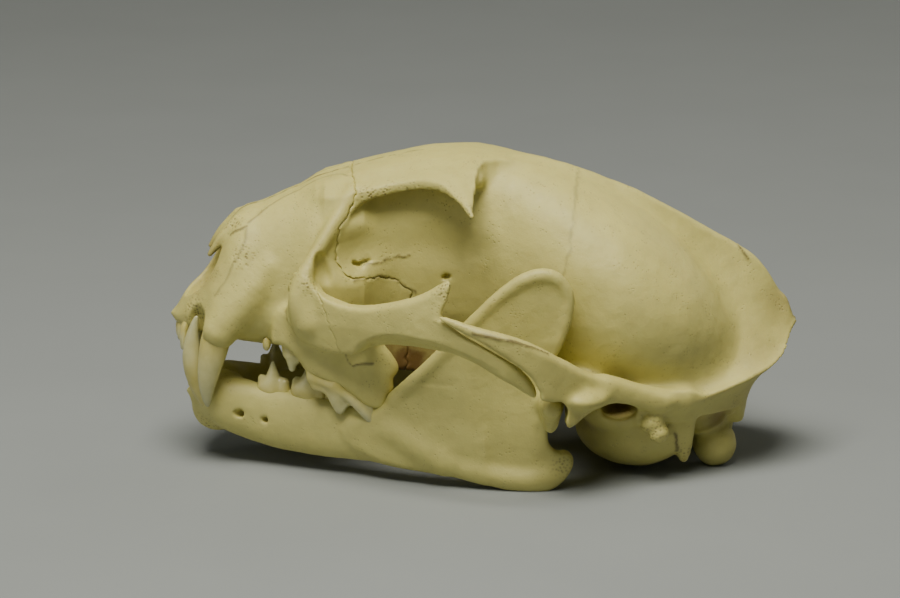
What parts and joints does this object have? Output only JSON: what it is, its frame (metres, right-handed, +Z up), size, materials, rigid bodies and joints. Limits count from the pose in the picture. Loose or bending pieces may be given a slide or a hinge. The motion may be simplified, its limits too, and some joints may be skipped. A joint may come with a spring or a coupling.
{
  "type": "golden cat skull with closed lower jaw",
  "caption": "Life-size still model of a golden cat's skull, cream bone, long canines, arched cheekbones, jaw closed, resting on a table.",
  "frame": {"origin": "centre of the bounding box at floor level", "axes": "+X to the back of the skull, nose to -X, +Z up, the animal's left side faces -Y"},
  "size_m": [0.1414, 0.0914, 0.0722],
  "materials": {
    "bone": "dry cleaned bone, cream with an olive yellow tinge, dull sheen",
    "jaw_bone": "dry cleaned bone, slightly paler cream",
    "teeth": "tooth enamel, off-white, soft gloss"
  },
  "bodies": {
    "root": {"muzzle": "bone", "braincase": "bone", "cheekbone_left": "bone", "cheekbone_right": "bone", "cheek_arch_left": "bone", "cheek_arch_right": "bone", "ear_capsule_left": "bone", "ear_capsule_right": "bone", "lower_jaw_left": "jaw_bone", "lower_jaw_right": "jaw_bone"}
  },
  "joints": []
}
